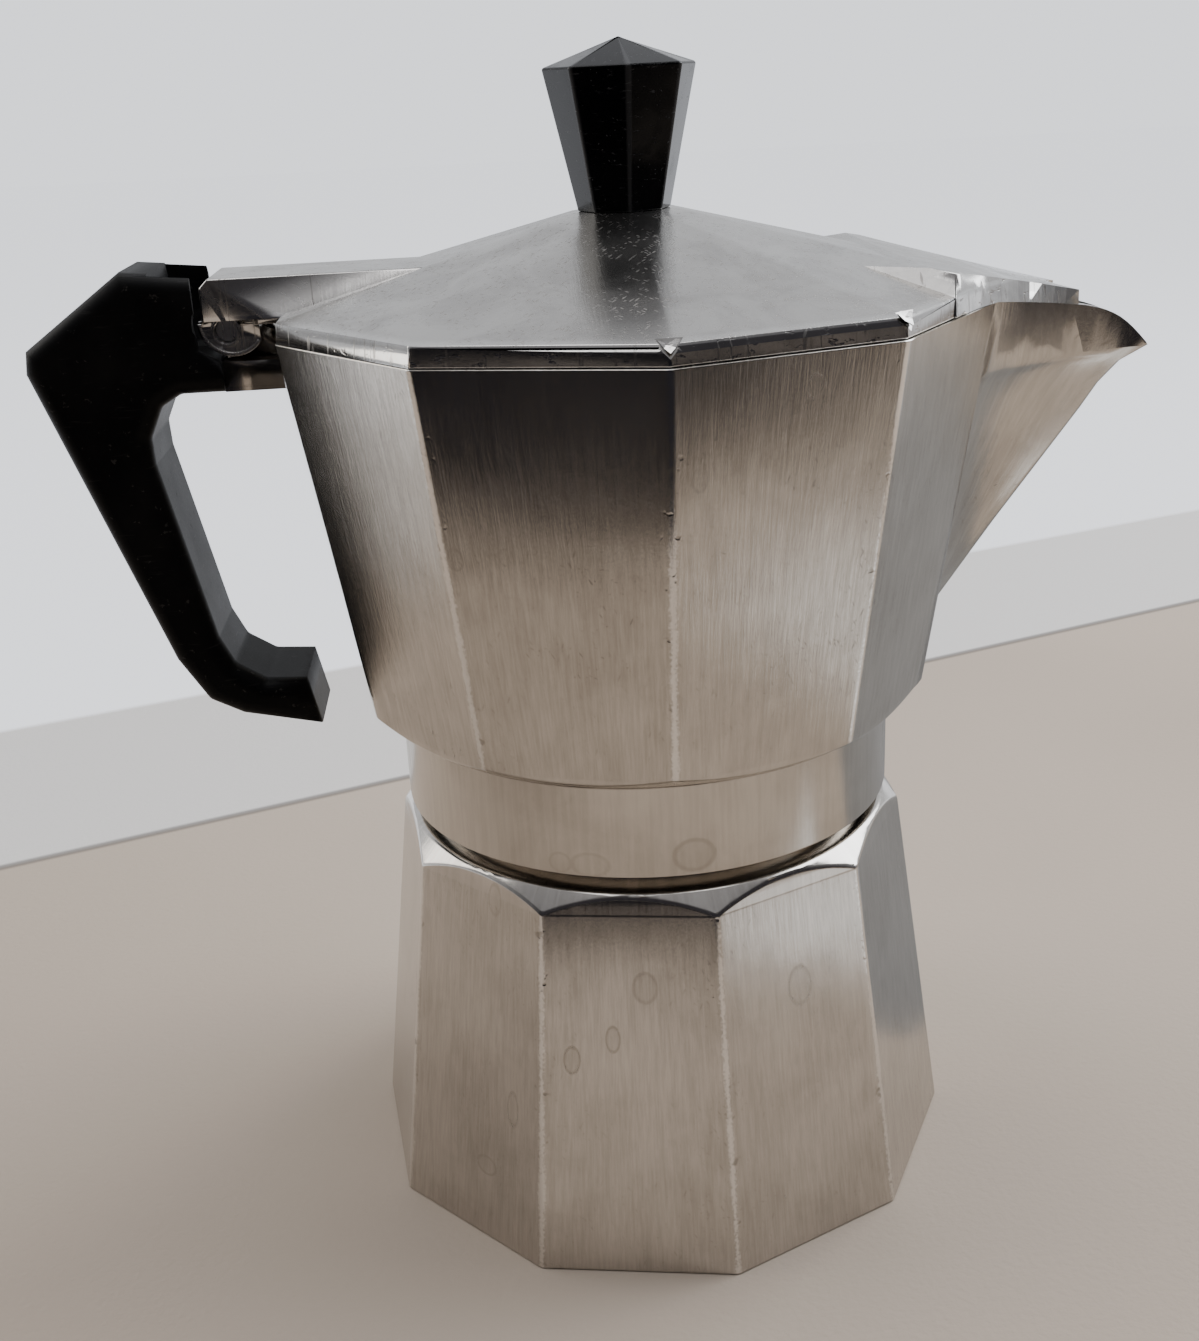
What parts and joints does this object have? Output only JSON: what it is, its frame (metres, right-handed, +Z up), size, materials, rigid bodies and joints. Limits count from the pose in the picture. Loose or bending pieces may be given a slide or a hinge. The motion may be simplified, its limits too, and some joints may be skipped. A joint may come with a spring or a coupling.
{
  "type": "moka pot",
  "caption": "Stove-top moka pot: faceted aluminium boiler with safety valve, funnel and screw-on collector with spout, hinged lid, black handle and knob.",
  "frame": {"origin": "on the boiler's axis at the surface it stands on", "axes": "+Z up along the boiler's axis, +X towards the pouring spout, -X towards the handle, XZ is the mirror plane of the collector, handle and lid"},
  "size_m": [0.1564, 0.0996, 0.1651],
  "materials": {
    "cast_aluminium": "cast and ground aluminium, satin, finely brushed along the flats",
    "lid_aluminium": "cast aluminium, greyed, with a polished edge",
    "pressed_aluminium": "pressed sheet aluminium, satin",
    "brass": "turned brass, satin",
    "copper_washer": "soft sealing washer",
    "spring_steel": "plain steel",
    "seal_rubber": "off-white silicone rubber",
    "black_phenolic": "black moulded phenolic, satin",
    "black_gloss": "black moulded phenolic, glossy"
  },
  "bodies": {
    "boiler_body": {"boiler": "cast_aluminium", "safety_valve_body": "brass", "safety_valve_washer": "copper_washer", "safety_valve_bush": "brass", "safety_valve_spring": "spring_steel"},
    "valve_stem": {"safety_valve_stem": "brass"},
    "funnel": {"funnel_basket": "pressed_aluminium", "funnel_tube": "pressed_aluminium", "funnel_screen": "pressed_aluminium"},
    "seal": {"gasket": "seal_rubber"},
    "filter": {"filter_plate": "pressed_aluminium"},
    "collector_body": {"collector": "cast_aluminium", "handle": "black_phenolic", "handle_pin": "spring_steel", "hinge_pin": "spring_steel"},
    "lid_body": {"lid": "lid_aluminium", "knob": "black_gloss", "knob_insert": "brass", "knob_screw": "spring_steel", "knob_washer": "spring_steel"}
  },
  "joints": [
    {"name": "valve_lift", "type": "slide", "parent": "boiler_body", "child": "valve_stem", "axis": [-0.4384, 0.8988, 0], "range_m": [0, 0.0015], "stiffness_N_per_m": 300, "springref_m": -0.003, "deforming": ["safety_valve_spring"]},
    {"name": "funnel_lift", "type": "slide", "parent": "boiler_body", "child": "funnel", "axis": [0, 0, 1], "range_m": [0, 0.07]},
    {"name": "upper_lift", "type": "slide", "parent": "funnel", "child": "seal", "axis": [0, 0, 1], "range_m": [0, 0.06]},
    {"name": "thread_rise", "type": "slide", "parent": "seal", "child": "filter", "axis": [0, 0, 1], "range_m": [0, 0.0046]},
    {"name": "unscrew", "type": "hinge", "parent": "filter", "child": "collector_body", "pos_m": [0, 0, 0.065], "axis": [0, 0, 1], "range_deg": [0, 540]},
    {"name": "lid_hinge", "type": "hinge", "parent": "collector_body", "child": "lid_body", "pos_m": [-0.0547, 0, 0.1307], "axis": [0, -1, 0], "range_deg": [0, 95]}
  ],
  "couplings": [
    {"joint": "thread_rise", "follows": "unscrew", "m_per_rad": 0.00047746}
  ]
}
